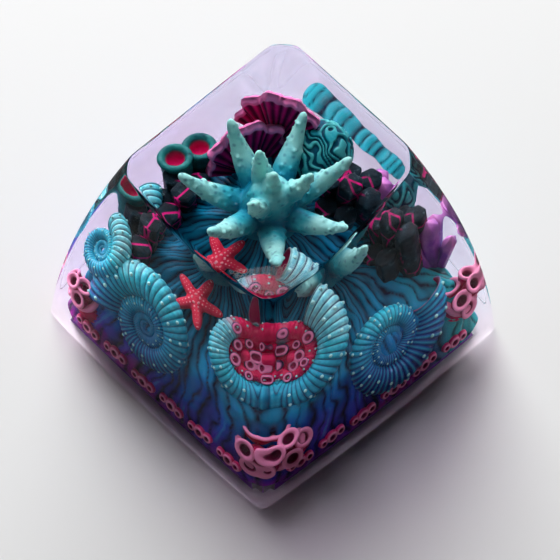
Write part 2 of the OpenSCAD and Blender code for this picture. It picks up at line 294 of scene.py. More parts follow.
class Nodes:
    """A short way to write a material's nodes. Paint that the resin wets mirrors little."""

    def __init__(self, name, Specular_IOR_Level=0.15, **sockets):
        sockets["Specular_IOR_Level"] = Specular_IOR_Level
        self.material = bpy.data.materials.new(name)
        self.material.use_nodes = True
        self.tree = self.material.node_tree
        self.shader = self.tree.nodes["Principled BSDF"]
        self.output = self.tree.nodes["Material Output"]
        for key, value in sockets.items():
            self.shader.inputs[key.replace("_", " ")].default_value = value
        self.coordinates = self.add("ShaderNodeTexCoord")

    def add(self, kind, inputs=None, **props):
        node = self.tree.nodes.new(kind)
        for key, value in props.items():
            setattr(node, key, value)
        for key, value in (inputs or {}).items():
            if isinstance(value, bpy.types.NodeSocket):
                self.tree.links.new(value, node.inputs[key])
            else:
                node.inputs[key].default_value = value
        return node

    def link(self, a, b):
        self.tree.links.new(a, b)

    def place(self):
        return self.coordinates.outputs["Object"]

    def noise(self, scale, detail=4.0, rough=0.55):
        """Scale is in features a millimetre."""
        node = self.add("ShaderNodeTexNoise", {"Vector": self.place(), "Scale": scale / MM,
                                               "Detail": detail, "Roughness": rough})
        return node.outputs["Fac"]

    def cells(self, scale, feature="F1"):
        """Distance in a pattern of cells; scale is in features a millimetre."""
        node = self.add("ShaderNodeTexVoronoi", {"Vector": self.place(), "Scale": scale / MM},
                        feature=feature)
        return node.outputs["Distance"]

    def along(self, axis, low, high):
        """0 at the place low on the axis and 1 at high, in millimetres."""
        split = self.add("ShaderNodeSeparateXYZ", {"Vector": self.place()})
        return self.spread(split.outputs[axis], low * MM, high * MM)

    def value(self, key):
        """A value that the mesh holds at its points."""
        return self.add("ShaderNodeAttribute", attribute_name=key).outputs["Fac"]

    def spread(self, source, low, high, to_low=0.0, to_high=1.0):
        """The source's range from low to high, spread from to_low to to_high."""
        node = self.add("ShaderNodeMapRange", {"Value": source, "From Min": low, "From Max": high,
                                               "To Min": to_low, "To Max": to_high})
        return node.outputs["Result"]

    def math(self, operation, a, b):
        return self.add("ShaderNodeMath", {0: a, 1: b}, operation=operation).outputs["Value"]

    def ramp(self, source, stops):
        """A colour that runs through the stops, each a position and a colour."""
        node = self.add("ShaderNodeValToRGB", {"Fac": source})
        stored = node.color_ramp.elements
        while len(stored) < len(stops):
            stored.new(0.5)
        for element, (position, colour) in zip(stored, stops):
            element.position, element.color = position, colour
        return node.outputs["Color"]

    def mix(self, factor, a, b):
        """The colour a where the factor is 0 and b where it is 1."""
        node = self.add("ShaderNodeMix", {0: factor, 6: a, 7: b}, data_type="RGBA")
        return node.outputs[2]

    def colour(self, socket):
        self.link(socket, self.shader.inputs["Base Color"])

    def roughness(self, source, low, high):
        """Roughness from low to high, as a noise texture varies."""
        self.link(self.spread(source, 0.3, 0.7, low, high), self.shader.inputs["Roughness"])

    def bump(self, source, height, strength=1.0):
        """Height is in millimetres."""
        node = self.add("ShaderNodeBump", {"Height": source, "Distance": height * MM, "Strength": strength})
        self.link(node.outputs["Normal"], self.shader.inputs["Normal"])


def resin_material():
    """Clear resin with a violet tint; from outside it mirrors a share of what bare glass would."""
    m = Nodes("clear_resin", Roughness=RESIN_ROUGHNESS, IOR=RESIN_IOR, Transmission_Weight=1.0,
              Base_Color=(0.95, 0.92, 0.975, 1.0))
    dull = m.add("ShaderNodeBsdfRefraction", {"Color": (0.97, 0.955, 0.985, 1.0),
                                              "Roughness": RESIN_ROUGHNESS, "IOR": RESIN_IOR})
    back = m.add("ShaderNodeNewGeometry").outputs["Backfacing"]
    outside = m.spread(back, 0.0, 1.0, 1 - RESIN_MIRROR, 0.0)
    body = m.add("ShaderNodeMixShader", {0: outside, 1: m.shader.outputs["BSDF"], 2: dull.outputs["BSDF"]})
    clear = m.add("ShaderNodeBsdfTransparent", {"Color": (0.80, 0.765, 0.795, 1.0)})
    shadow = m.add("ShaderNodeLightPath").outputs["Is Shadow Ray"]
    choose = m.add("ShaderNodeMixShader", {0: shadow, 1: body.outputs["Shader"], 2: clear.outputs["BSDF"]})
    m.link(choose.outputs["Shader"], m.output.inputs["Surface"])
    tint = m.add("ShaderNodeVolumeAbsorption", {"Color": srgb(180, 156, 196), "Density": 42.0})
    m.link(tint.outputs["Volume"], m.output.inputs["Volume"])
    return m.material


def shell_material():
    """Painted teal, with painted shade that deepens it to navy low down and darkens the grooves between the
    ribs, painted highlights that make the rib crests paler, and pale cyan dots that are painted highlights.
    """
    m = Nodes("teal_paint", Roughness=0.36, Specular_IOR_Level=0.3)
    # painted shade: navy lower down and paler higher up, as light falls from above
    level = m.math("ADD", m.along("Z", 2.2, 9.6), m.spread(m.noise(0.35), 0.3, 0.7, -0.16, 0.16))
    body = m.ramp(level, [(0.0, srgb(10, 36, 130)), (0.25, srgb(0, 92, 166)), (0.48, srgb(0, 160, 196)),
                          (0.75, srgb(50, 214, 222)), (1.0, srgb(180, 250, 240))])
    # painted shade in the grooves between the ribs, then a painted highlight on their crests
    groove = m.mix(m.spread(m.value("rib"), 0.1, 0.7), srgb(0, 20, 66), body)
    crest = m.mix(m.spread(m.value("rib"), 0.8, 1.0, 0.0, 0.5), groove, srgb(60, 216, 232))
    grain = m.mix(m.spread(m.noise(3.2, 6), 0.35, 0.7, 0.0, 0.4), crest, srgb(0, 52, 120))
    inside = m.mix(m.value("mouth"), grain, srgb(186, 6, 84))
    flesh = m.ramp(m.noise(0.9, 5), [(0.3, srgb(196, 0, 72)), (0.7, srgb(246, 24, 96))])
    inside = m.mix(m.value("core"), inside, flesh)
    cups = m.mix(m.value("lip"), inside, srgb(246, 142, 182))
    # painted shade: the darker colour inside each cup's hollow
    cups = m.mix(m.value("throat"), cups, srgb(150, 0, 66))
    # painted highlights: the pale cyan dots on the bumps
    m.colour(m.mix(m.value("dot"), cups, srgb(176, 240, 232)))
    m.roughness(m.noise(1.2), 0.25, 0.42)
    m.bump(m.noise(7.0, 3), 0.02, 0.5)
    return m.material


def crown_material():
    """Pale teal with painted shade that deepens it to blue where the value reach is low, near the trunk,
    and darker painted shade in the pits.
    """
    m = Nodes("pale_teal_paint", Roughness=0.42)
    # painted shade: bluer and darker near the trunk, where the limbs crowd
    level = m.math("ADD", m.value("reach"), m.spread(m.noise(0.8), 0.3, 0.7, -0.15, 0.15))
    body = m.ramp(level, [(0.0, srgb(0, 50, 92)), (0.3, srgb(0, 116, 140)), (0.6, srgb(56, 176, 182)),
                          (1.0, srgb(156, 228, 214))])
    # painted shade in the pits
    m.colour(m.mix(m.spread(m.cells(2.2), 0.0, 0.35, 0.7, 0.0), body, srgb(0, 70, 106)))
    m.roughness(m.noise(1.6), 0.32, 0.5)
    m.bump(m.cells(2.6), 0.05, 0.7)
    return m.material


def brain_material():
    """Turquoise ridges, with painted shade that makes them dark where the value groove is 0, in the
    grooves.
    """
    m = Nodes("turquoise_paint", Roughness=0.4)
    m.colour(m.mix(m.spread(m.value("groove"), 0.25, 0.75), srgb(2, 70, 88),
                   m.ramp(m.noise(0.5), [(0.35, srgb(20, 142, 150)), (0.65, srgb(88, 200, 190))])))
    m.roughness(m.noise(1.6), 0.32, 0.48)
    m.bump(m.noise(6.0, 3), 0.03, 0.5)
    return m.material


def pink_material(name, skin_dark, skin_light, lip, throat):
    """Coral tubes and cups: the value lip is 1 at a mouth's lip and throat is 1 inside it, where the darker
    throat colour is painted shade.
    """
    m = Nodes(name, Roughness=0.33)
    skin = m.ramp(m.noise(0.9, 5), [(0.3, skin_dark), (0.7, skin_light)])
    rings = m.mix(m.value("lip"), skin, lip)
    # painted shade: the darker throat colour inside each mouth
    m.colour(m.mix(m.value("throat"), rings, throat))
    m.roughness(m.noise(1.8), 0.26, 0.42)
    m.bump(m.noise(5.0, 4), 0.03, 0.5)
    return m.material


def fan_material():
    """Magenta with painted highlights that brighten the ribs and painted shade between them, darker too
    towards the foot, with a pale edge.
    """
    m = Nodes("magenta_paint", Roughness=0.38)
    # painted highlights on the ribs and painted shade between them and towards the foot
    skin = m.ramp(m.math("ADD", m.value("rib"), m.spread(m.noise(1.0), 0.3, 0.7, -0.2, 0.2)),
                  [(0.1, srgb(84, 2, 54)), (0.55, srgb(172, 4, 86)), (0.95, srgb(226, 28, 120))])
    m.colour(m.mix(m.value("edge"), skin, srgb(238, 126, 180)))
    m.roughness(m.noise(1.8), 0.3, 0.46)
    m.bump(m.noise(6.0, 4), 0.03, 0.5)
    return m.material


def basalt_material():
    """Near-black green with pale flecks and seams of magenta."""
    m = Nodes("basalt_paint", Roughness=0.4)
    stone = m.ramp(m.noise(1.4, 6, 0.65), [(0.35, srgb(8, 20, 26)), (0.6, srgb(22, 48, 56)),
                                          (0.75, srgb(120, 150, 152))])
    seams = m.spread(m.cells(0.75, "DISTANCE_TO_EDGE"), 0.03, 0.055, 1.0, 0.0)
    m.colour(m.mix(m.math("MULTIPLY", seams, m.spread(m.noise(0.4), 0.48, 0.55)), stone, srgb(214, 8, 120)))
    m.roughness(m.noise(1.8), 0.28, 0.55)
    m.bump(m.noise(3.0, 6, 0.7), 0.12, 0.8)
    return m.material


def rock_material():
    """Violet at the foot, painted brighter there as light that the resin scatters onto it, blue to teal
    above it, more turquoise at the back, with painted shade that makes it dark between the ridges and in
    the folds' valleys, and painted highlights on the ridge crests.
    """
    m = Nodes("rock_paint", Roughness=0.4)
    level = m.math("ADD", m.along("Z", 0.6, 7.5), m.spread(m.noise(0.3), 0.3, 0.7, -0.2, 0.2))
    # the foot's violet is the rock's own paint, made brighter as painted light where little light reaches
    body = m.ramp(level, [(0.0, srgb(170, 30, 160)), (0.2, srgb(70, 44, 180)), (0.42, srgb(0, 84, 190)),
                          (0.7, srgb(0, 150, 190)), (1.0, srgb(0, 130, 160))])
    body = m.mix(m.along("Y", 3.0, 6.0), body, srgb(30, 176, 180))
    # painted shade between the ridges and in the folds' valleys, then painted highlights on the crests
    ridge = m.mix(m.spread(m.value("ridge"), 0.15, 0.65), srgb(0, 4, 40), body)
    m.colour(m.mix(m.spread(m.value("ridge"), 0.85, 1.0, 0.0, 0.4), ridge, srgb(50, 170, 220)))
    m.roughness(m.noise(1.8), 0.28, 0.5)
    m.bump(m.noise(3.0, 5, 0.6), 0.06, 0.6)
    return m.material


def sponge_material():
    """Green-teal with painted shade that darkens its pits, and a red throat."""
    m = Nodes("green_paint", Roughness=0.45)
    skin = m.ramp(m.noise(0.8, 5), [(0.3, srgb(6, 70, 78)), (0.7, srgb(40, 140, 130))])
    # painted shade in the pits
    pits = m.mix(m.spread(m.cells(2.0), 0.0, 0.28, 1.0, 0.0), skin, srgb(4, 34, 44))
    m.colour(m.mix(m.value("throat"), pits, srgb(206, 10, 90)))
    m.roughness(m.noise(1.8), 0.34, 0.5)
    m.bump(m.cells(2.0), 0.08, 0.8)
    return m.material


def crystal_material():
    """Violet, paler towards the tips."""
    m = Nodes("violet_paint", Roughness=0.15, IOR=1.6)
    m.colour(m.ramp(m.math("ADD", m.value("reach"), m.spread(m.noise(0.9), 0.3, 0.7, -0.15, 0.15)),
                    [(0.0, srgb(52, 16, 104)), (0.5, srgb(140, 60, 176)), (1.0, srgb(232, 150, 216))]))
    m.roughness(m.noise(2.2), 0.1, 0.28)
    m.bump(m.noise(2.0, 4), 0.03, 0.4)
    return m.material


def star_material():
    """Coral red with paler bumps."""
    m = Nodes("coral_red_paint", Roughness=0.36)
    skin = m.ramp(m.noise(1.2, 5), [(0.3, srgb(206, 12, 58)), (0.7, srgb(250, 66, 92))])
    m.colour(m.mix(m.value("dot"), skin, srgb(255, 176, 180)))
    m.roughness(m.noise(2.0), 0.26, 0.44)
    m.bump(m.noise(5.0, 4), 0.04, 0.6)
    return m.material


def stem_material():
    """Moulded violet resin."""
    m = Nodes("violet_resin", Roughness=0.22)
    m.colour(m.ramp(m.noise(0.25, 3), [(0.3, srgb(118, 46, 166)), (0.7, srgb(160, 80, 205))]))
    m.roughness(m.noise(0.8), 0.16, 0.3)
    m.bump(m.noise(9.0, 2), 0.005, 0.4)
    return m.material


# The resin cap


def wall_radius(z):
    """Radius of each wall from its own axis, front, back, right and left."""
    lean = math.degrees(math.atan(TOP_SHIFT / DISH_H))
    out = []
    for draft in (WALL_DRAFT + lean, WALL_DRAFT - lean, WALL_DRAFT, WALL_DRAFT):
        a = math.radians(draft)
        out.append(BOW_R - WALL_R * math.cos(a) + np.sqrt(WALL_R ** 2 - (z + WALL_R * math.sin(a)) ** 2))
    return out


def cap_reach(theta, z):
    """Distance of the cap's side from the upright axis at the angle theta and the height z.

    It is the least of the four walls' and the corners' ring's, with their edges rounded by EDGE_SOFT."""
    d = np.stack([np.cos(theta), np.sin(theta)], -1)
    reach = []
    axis = BOW_R - BASE_HALF
    centres = ((0, axis), (0, -axis), (-axis, 0), (axis, 0))
    for (cx, cy), rho in zip(centres, wall_radius(z)):
        along = d[..., 0] * cx + d[..., 1] * cy
        inside = along ** 2 - axis ** 2 + rho ** 2
        reach.append(along + np.sqrt(np.maximum(inside, 0)))
    draft = math.radians(WALL_DRAFT * math.sqrt(2))
    ring = CORNER_REACH - CORNER_R * math.cos(draft)
    ring = ring + np.sqrt(CORNER_R ** 2 - (z + CORNER_R * math.sin(draft)) ** 2)
    cy = z * TOP_SHIFT / DISH_H
    along = d[..., 1] * cy
    reach.append(along + np.sqrt(along ** 2 - cy ** 2 + ring ** 2))
    reach = np.stack([np.where(r > 0, r, 99) for r in reach])
    least = reach.min(0)
    return least - EDGE_SOFT * np.log(np.exp(-(reach - least) / EDGE_SOFT).sum(0))


def dish_height(x, y):
    """Height of the dished top, part of a ball's underside that leans towards the typist."""
    lean = math.radians(DISH_LEAN)
    cy, cz = TOP_SHIFT - DISH_R * math.sin(lean), DISH_H + DISH_R * math.cos(lean)
    return cz - np.sqrt(DISH_R ** 2 - x ** 2 - (y - cy) ** 2)


def cap_angles():
    """Angles round the cap, closer together at the four corners."""
    quarter = np.concatenate([np.linspace(start, stop, count, endpoint=False)
                              for start, stop, count in ((-45, -41, 22), (-41, 41, 60), (41, 45, 22))])
    return np.radians(np.concatenate([quarter + 90 * k for k in range(4)]))


def resin_cap(material):
    """The pocket for the stem base, the rounded foot, the walls, the rounded rim and the dish, as rings."""
    theta = cap_angles()
    n = len(theta)
    d = np.stack([np.cos(theta), np.sin(theta)], 1)
    rim_z = np.full(n, DISH_H)
    for _ in range(30):
        r = cap_reach(theta, rim_z)
        rim_z = 0.5 * rim_z + 0.5 * dish_height(r * d[:, 0], r * d[:, 1])

    def side(z):
        r = cap_reach(theta, z)
        return np.stack([r * d[:, 0], r * d[:, 1], z], 1)

    def top(share):
        r = cap_reach(theta, rim_z) * share
        return np.stack([r * d[:, 0], r * d[:, 1], dish_height(r * d[:, 0], r * d[:, 1])], 1)

    def curve(a, corner, b, steps):
        return [(1 - t) ** 2 * a + 2 * t * (1 - t) * corner + t ** 2 * b for t in np.linspace(0, 1, steps)]

    rim = top(1.0)
    reach = np.linalg.norm(rim[:, :2], axis=1)
    shoulder, inner = side(rim_z - RIM_FILLET), top(1 - RIM_FILLET / reach)
    sole, foot = side(np.zeros(n)), side(np.full(n, BASE_FILLET))
    sole_in = sole * (1 - BASE_FILLET / np.linalg.norm(sole[:, :2], axis=1))[:, None]

    def square(half, z):
        r = (half + POCKET_GAP) / np.maximum(abs(d[:, 0]), abs(d[:, 1]))
        return np.stack([r * d[:, 0], r * d[:, 1], np.full(n, z)], 1)

    roof = STEM_ROOF_Z + POCKET_GAP
    rings = [square(STEM_BASE_TOP_HALF * s, roof) for s in (0.02, 0.5, 1.0)]
    rings.append(square(STEM_BASE_HALF, 0.0))
    rings += curve(sole_in, sole, foot, 4)
    low, high = BASE_FILLET, rim_z - RIM_FILLET
    for t in np.linspace(0, 1, 40)[1:-1]:
        rings.append(side(low + (high - low) * t))
    rings += curve(shoulder, rim, inner, 7)
    for share in np.linspace(1, 0.02, 40)[1:]:
        rings.append(top(share * (1 - RIM_FILLET / reach)))
    verts = np.vstack(rings + [[[0, 0, roof]], [[0, 0, dish_height(0.0, 0.0)]]])
    obj = make_object("resin", verts, tube_faces(len(rings), n))

    # the pocket's edges stay sharp: they are the rings 2 and 3
    flags = []
    for edge in obj.data.edges:
        a, b = (v // n for v in edge.vertices)
        flags.append(a == b and a in (2, 3))
    obj.data.attributes.new("sharp_edge", "BOOLEAN", "EDGE").data.foreach_set("value", flags)
    finish_piece(obj, material, "resin_cap")


# Spiral shells


def shell(name, node, material, place, turn, spin, r, ribs, cups=0):
    """A flat coil of one long tube, with fine ribs, bumps on every third rib and an open mouth.

    Ribs counts those of one turn. Cups is the number of small cups over the inner turns, which are then
    red."""
    tube = (SHELL_GROWTH - 1) / (SHELL_GROWTH + 1) * 1.04
    middle = r / (1 + tube * (1 + SHELL_RIB_RISE))
    round_turn = 2 * math.pi

    def coil(a):
        """How far out the tube's middle is at the angle a."""
        return middle * SHELL_GROWTH ** (a / round_turn - 1)

    samples, cols = ribs * 8, 36
    az = np.linspace(-SHELL_INNER_TURNS * round_turn, round_turn, int(samples * (1 + SHELL_INNER_TURNS)))
    out = np.stack([np.cos(az), np.sin(az), np.zeros_like(az)], 1)
    down = np.repeat([[0, 0, -1.0]], len(az), 0)
    t = np.arange(cols) * round_turn / cols
    ridge = abs(np.sin(az * ribs / 2)) ** 0.6
    outward = 0.5 + 0.5 * np.cos(t)
    shape = 1.04 - 0.12 * (1 - ridge[:, None]) * (0.35 + 0.65 * outward[None])
    radii = coil(az) * tube
    centres = coil(az)[:, None] * out
    rib = np.repeat(ridge[:, None], cols, 1)
    mouth = np.zeros((len(az), cols))

    # the lip turns in and runs back into the tube
    lips = [(0.0, 1.05, 0.0), (0.03, 0.99, 0.5), (0.0, 0.9, 1.0), (-0.25, 0.82, 1.0), (-0.7, 0.7, 1.0),
            (-1.2, 0.45, 1.0), (-1.5, 0.1, 1.0)]
    ahead = np.array([-math.sin(az[-1]), math.cos(az[-1]), 0])
    for step, share, inside in lips:
        centres = np.vstack([centres, centres[len(az) - 1] + step * radii[len(az) - 1] * ahead])
        out = np.vstack([out, out[len(az) - 1]])
        down = np.vstack([down, down[0]])
        shape = np.vstack([shape, np.full(cols, share)])
        rib = np.vstack([rib, np.full(cols, 0.75)])
        mouth = np.vstack([mouth, np.full(cols, inside)])
    radii = np.concatenate([radii, np.full(len(lips), radii[-1])])
    core = np.zeros(len(centres))
    if cups:
        core[:len(az)] = np.clip((1.0 - az) / 0.5, 0, 1)
    parts = [sweep(centres, out, down, radii, cols, shape, {"rib": rib, "mouth": mouth, "core": core})]

    # bumps along the outside of every third rib
    for k in range(0, int(1.8 * ribs), 3):
        a = round_turn - (k + 0.5) * round_turn / ribs
        g = coil(a)
        o = np.array([math.cos(a), math.sin(a), 0])
        for v in (-1.35, -0.55, 0.35, 1.15):
            v += 0.25 * math.sin(k * 1.7)
            p = g * o + 1.03 * g * tube * (math.cos(v) * o - math.sin(v) * np.array([0, 0, 1.0]))
            parts.append(ball(p, 0.036 * g + 0.03))

    # cups scattered over the inner turns, and a knob over their centre
    if cups:
        parts.append(ball([0, 0, 0.1], 0.42, key="core"))
    for k in range(cups):
        a = 0.7 - k * 1.17
        g = coil(a)
        o = np.array([math.cos(a), math.sin(a), 0])
        p = g * (1 + 0.3 * tube * math.sin(k * 2.4)) * o + np.array([0, 0, 0.88 * g * tube])
        parts.append(cup(p, [0, 0, 1], 0.37 + 0.08 * math.sin(k * 1.9), 0.2))
    v, f, values = moved(join(parts), rotation(*turn) @ rotation(0, 0, spin), place)
    finish_piece(make_object(name, v, f, values), material, node)


# Corals


# Rings of a rounded lip and a throat: how far ahead, how wide, and the values lip and throat
TUBE_MOUTH = np.array([(0.10, 1.10, 1, 0), (0.22, 1.04, 1, 0), (0.27, 0.90, 1, 0), (0.24, 0.74, 1, 0),
                       (0.10, 0.62, 1, 0), (-0.08, 0.56, 0.3, 0.8), (-0.35, 0.48, 0, 1),
                       (-0.55, 0.2, 0, 1)])
CUP_MOUTH = np.array([(-0.3, 1.0, 0, 0), (0.15, 0.98, 0, 0), (0.6, 0.9, 0.2, 0), (0.88, 0.82, 1, 0),
                      (1.0, 0.7, 1, 0), (0.98, 0.56, 1, 0), (0.85, 0.46, 0.6, 0.4), (0.5, 0.36, 0, 1),
                      (0.3, 0.12, 0, 1)])


def open_tube(p, az, rise, bend, length, radii, cols=20, rings=0.05):
    """A limb that ends in an open mouth with a rounded lip; rings is the depth of the rings round it."""
    steps = 22
    points, side, across, end = limb_path(p, az, rise, bend, length, steps)
    r = smooth_radii(radii, steps)
    r = r * (1 + rings * np.sin(np.arange(steps + 1) * 2.1))
    ahead, wide, lip, throat = TUBE_MOUTH.T
    points = np.vstack([points, points[-1] + ahead[:, None] * r[-1] * end])
    side, across = (np.vstack([a, np.repeat(a[-1:], len(wide), 0)]) for a in (side, across))
    return sweep(points, side, across, np.concatenate([r, wide * r[-1]]), cols, None,
                 {"lip": np.concatenate([np.zeros(steps + 1), lip]),
                  "throat": np.concatenate([np.zeros(steps + 1), throat])})


def cup(place, direction, r, height):
    """A low cone with a rounded lip and a hollow."""
    direction = np.asarray(direction, float)
    direction /= np.linalg.norm(direction)
    side = np.cross(direction, [0.3, 0.2, 1.0])
    side /= np.linalg.norm(side)
    across = np.cross(direction, side)
    ahead, wide, lip, throat = CUP_MOUTH.T
    n = len(wide)
    centres = np.asarray(place) + ahead[:, None] * height * direction
    return sweep(centres, [side] * n, [across] * n, wide * r, 22, None, {"lip": lip, "throat": throat})


def round_limb(p, az, rise, bend, length, radii, tip):
    """A limb with a rounded tip, tip being how far that stands out."""
    steps, cols = 20, 18
    points, side, across, end = limb_path(p, az, rise, bend, length, steps)
    r = smooth_radii(radii, steps)
    a = np.linspace(0.25, 1, 5) * math.pi / 2
    points = np.vstack([points, points[-1] + tip * np.sin(a)[:, None] * end])
    side, across = (np.vstack([d, np.repeat(d[-1:], len(a), 0)]) for d in (side, across))
    return sweep(points, side, across, np.concatenate([r, r[-1] * np.maximum(np.cos(a), 0.03)]), cols)


def anemone(name, node, material, place, turn, lean, count, length, mouth, spread):
    """A foot and a number of open tubes, the outer ones shorter and leaning further out."""
    parts = [open_tube([0, 0, -0.4], 0, 90, 0, 0.55 * length, [1.15 * mouth, 0.95 * mouth])]
    for i in range(count):
        share = i / count
        parts.append(open_tube([0, 0, 0], i * GOLDEN_ANGLE, 90 - spread * math.sqrt(share), -8,
                               length * (1 - 0.32 * share), [0.31 * mouth, 0.35 * mouth, 0.46 * mouth]))
    v, f, values = moved(join(parts), rotation(0, 0, turn) @ rotation(0, lean, 0), place)
    finish_piece(make_object(name, v, f, values), material, node)


def crown_coral(material):
    """A trunk, a low ring of seven limbs, three steeper ones and one on top, under one skin with bumps."""
    h, n, r = CROWN_H, CROWN_BRANCHES, CROWN_BRANCH_D / 2
    root = ROCK_TOP - 1
    place = np.array([-0.3, 0.35, 0])
    limbs = [([0, 0, root], 41, 90, 0, 0.62 * h, [3.4 * r, 2.9 * r, 2.2 * r, 1.6 * r], r)]
    for i in range(n):
        limbs.append(([0, 0, root + 0.95], i * 360 / n + 13, 8 + 8 * (i % 2), 46, 0.98 * h,
                      [1.4 * r, 1.05 * r, 0.45 * r], r))
    for i in range(3):
        limbs.append(([0, 0, root + 2.15], i * 120 + 46, 42 + 8 * (i % 2), 34, 0.66 * h,
                      [1.3 * r, 0.9 * r, 0.4 * r], r))
    limbs.append(([0, 0, root + 2.4], 124, 84, 6, 0.48 * h, [1.2 * r, 0.9 * r, 0.5 * r], r))
    parts, bumps = [], []
    for p, az, rise, bend, length, radii, tip in limbs:
        parts.append(round_limb(p, az, rise, bend, length, radii, tip))
        points, side, across, _ = limb_path(p, az, rise, bend, length, 10)
        widths = smooth_radii(radii, 10)
        for k in range(3, 11):
            for _ in range(3):
                a = rng.uniform(0, 2 * math.pi)
                q = points[k] + widths[k] * 0.98 * (math.cos(a) * side[k] + math.sin(a) * across[k])
                bumps.append(ball(q, rng.uniform(0.10, 0.17)))
    parts = [moved(p, np.eye(3), place) for p in parts + bumps]
    obj = fused("crown", parts, 0.07, 3)
    v = vertices_of(obj)
    # reach is low near the trunk; there the crown's paint gets its painted shade
    away = np.linalg.norm((v - place - [0, 0, root + 1.2]) * [1, 1, 1.1], axis=1)
    set_value(obj.data, "reach", np.clip((away - 0.9) / 3.4, 0, 1))
    finish_piece(obj, material, "crown_coral")


def brain_coral(material):
    """A dome with winding grooves on a stalk."""
    r, foot, dome = BRAIN_R, ROCK_Z + 4, 8.2
    centre = np.array([-1.1, 5.25, 0])
    t = np.linspace(0, 1, 30, endpoint=False)
    a = np.radians(np.linspace(-22, 89, 90))
    z = np.concatenate([foot + (dome - 0.9 - foot) * t, dome + r * np.sin(a)])
    radius = np.concatenate([0.6 * r + 0.25 * r * t * t, r * np.cos(a)])
    n = len(z)
    centres = np.stack([np.zeros(n), np.zeros(n), z], 1) + centre
    v, f, _ = sweep(centres, [[1, 0, 0]] * n, [[0, 1, 0]] * n, radius, 120)
    middle = centre + [0, 0, dome]
    away = v - middle
    length = np.linalg.norm(away, axis=1, keepdims=True)
    direction = away / np.maximum(length, 1e-9)
    wobble = np.stack([fractal(direction, 1.6, 2, s) for s in (1.0, 5.0, 9.0)], 1)
    wave = np.sin((direction + 0.5 * wobble) @ np.array([7.0, 11.0, 5.0]) * 1.9)
    groove = np.clip(0.5 + 0.9 * wave, 0, 1)
    on_dome = np.clip((v[:, 2] - dome + 1.0) / 0.6, 0, 1)
    v = v - direction * ((1 - groove) * 0.16 * on_dome)[:, None]
    # groove is 0 in the sunken grooves, where the coral's paint gets its painted shade
    obj = make_object("brain", v, f, {"groove": 1 - (1 - groove) * on_dome})
    finish_piece(obj, material, "brain_coral")


def fan_part(place, turn, rise):
    """A scalloped fan with ribs that run out to its lobes and a thick pale edge.

    Its front and back are grids of points, from its foot out and from one end of its edge to the other."""
    w, t, lobes, cols, rows = FAN_W, FAN_T, 5, 150, 34
    a = np.radians(np.linspace(185, -5, cols))
    k = (a + math.radians(5)) / math.radians(190) * 2 * lobes
    reach = w / 2 * (1.08 + 0.10 * np.cos(k * math.pi)) * (1 - 0.1 * abs(k / lobes - 1))
    s = np.linspace(0.03, 1, rows)
    ribs = 0.5 + 0.5 * np.cos(k * math.pi * 3)
    verts, rib, edge = [], [], []
    for side in (1, -1):
        for q in s:
            r = reach * q
            thick = t / 2 * (0.55 + 0.3 * ribs * q + 0.25 * max(0, (q - 0.86) / 0.14))
            thick = thick * (math.sqrt(max(0.0, 1 - ((q - 0.93) / 0.07) ** 2)) if q > 0.93 else 1)
            lift = 0.12 * np.cos(k * math.pi) * q ** 2
            verts.append(np.stack([r * np.cos(a), r * np.sin(a) - 0.35 * w * (1 - q),
                                   side * thick + lift], 1))
            # rib, low between the ribs and near the foot, sets the fan's painted shade and highlights
            rib.append(ribs * (0.4 + 0.6 * q))
            edge.append(np.full(cols, float(q > 0.9)))
    v = np.vstack(verts)
    other = rows * cols
    f = []
    for base in (0, other):
        for i in range(rows - 1):
            for j in range(cols - 1):
                low, high = base + i * cols + j, base + (i + 1) * cols + j
                quad = (low, low + 1, high + 1, high)
                f.append(quad if base else quad[::-1])
    for i in range(rows - 1):
        for low, flip in ((i * cols, False), (i * cols + cols - 1, True)):
            quad = (low, low + cols, other + low + cols, other + low)
            f.append(quad if flip else quad[::-1])
    edge_row = (rows - 1) * cols
    for j in range(cols - 1):
        f.append((other + j, other + j + 1, j + 1, j))
        low = edge_row + j
        f.append((low, low + 1, other + low + 1, other + low))
    values = {"rib": np.concatenate(rib), "edge": np.concatenate(edge)}
    return moved((v, f, values), rotation(0, 0, turn) @ rotation(rise, 0, 0), place)


def fan_corals(material):
    """Two fans, each on a stalk."""
    v, f, values = join([fan_part([-4.05, 2.05, 8.2], 70, 76), fan_part([-3.95, 4.5, 9.25], 28, 80),
                         round_limb([-4.05, 2.05, 5.3], 0, 90, 0, 2.6, [0.7, 0.5, 0.6], 0.3),
                         round_limb([-3.95, 4.5, 6.3], 0, 90, 0, 2.4, [0.7, 0.5, 0.6], 0.3)])
    finish_piece(make_object("fans", v, f, values), material, "fan_corals")


def sponge_tubes(material):
    """Two wide upright tubes."""
    v, f, values = join([open_tube([-5.65, -1.85 + 1.7 * i, ROCK_Z + 3], 160 - 10 * i, 84, -6,
                                   SPONGE_H * (1 - 0.12 * i), [1, 1.08, 0.92, 0.98], 28, 0.03)
                         for i in range(2)])
    finish_piece(make_object("sponges", v, f, values), material, "sponge_tubes")


# Rock, columns, crystals and small finds


def square_reach(w, az, power):
    """Distance from the middle to a rounded square of the half width w, sharper the higher the power."""
    return w / (abs(np.cos(az)) ** power + abs(np.sin(az)) ** power) ** (1 / power)


def softened(rings, columns, rows):
    """Rings of points with their edges rounded: a running mean along each ring, then over the rings."""
    wide = np.concatenate([rings[:, -columns:], rings, rings[:, :columns]], 1)
    rings = sum(wide[:, k:k + rings.shape[1]] for k in range(2 * columns + 1)) / (2 * columns + 1)
    tall = np.concatenate([rings[:1]] * rows + [rings] + [rings[-1:]] * rows)
    return sum(tall[k:k + len(rings)] for k in range(2 * rows + 1)) / (2 * rows + 1)


